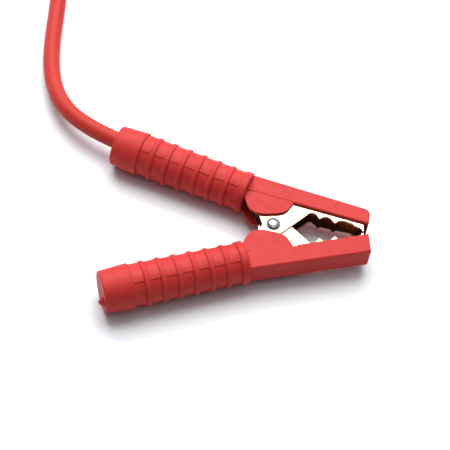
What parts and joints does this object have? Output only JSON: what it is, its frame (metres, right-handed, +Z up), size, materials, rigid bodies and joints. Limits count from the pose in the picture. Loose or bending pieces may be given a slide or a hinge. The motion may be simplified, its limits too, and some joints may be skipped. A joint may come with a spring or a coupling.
{
  "type": "alligator clip lead",
  "caption": "Insulated alligator clamp with pressed, toothed copper-plated jaws on a spring pivot, and a red cable that ends in a ring terminal.",
  "frame": {"origin": "on the surface that the clamp lies on, under the middle of the clamp's box without its lead", "axes": "+X towards the jaw tips along the clamp's middle line, +Y towards the handle that the lead leaves, +Z up, along the pivot"},
  "size_m": [0.199, 0.4124, 0.0254],
  "materials": {
    "plated_steel": "copper-plated pressed steel, satin, brighter on the teeth",
    "grip_pvc": "soft moulded PVC, satin, with a fine mould grain",
    "zinc_steel": "bright zinc-plated steel",
    "cable_pvc": "extruded PVC jacket, satin",
    "copper": "bare stranded copper",
    "tinned_copper": "tin-plated copper, pressed",
    "tie_strap": "woven hook-and-loop strap",
    "heat_shrink": "black heat-shrink tube"
  },
  "bodies": {
    "cable_half": {"cable_jaw": "plated_steel", "cable_grip": "grip_pvc", "pivot_rivet": "zinc_steel", "rivet_washer": "zinc_steel", "pivot_spacer": "zinc_steel", "torsion_spring": "zinc_steel", "cable_core": "copper", "cable_jacket": "cable_pvc", "lead_run": "cable_pvc", "lead_coil": "cable_pvc", "near_tie": "tie_strap", "far_tie": "tie_strap", "lead_tail": "cable_pvc", "terminal_core": "copper", "ring_terminal": "tinned_copper", "terminal_sleeve": "heat_shrink"},
    "lever_half": {"lever_jaw": "plated_steel", "lever_grip": "grip_pvc"}
  },
  "joints": [
    {"name": "jaw_pivot", "type": "hinge", "parent": "cable_half", "child": "lever_half", "pos_m": [0.0202, 0, 0.0127], "axis": [0, 0, -1], "range_deg": [0, 40], "stiffness_Nm_per_rad": 1.5, "springref_deg": -45.84, "deforming": ["torsion_spring"]}
  ]
}
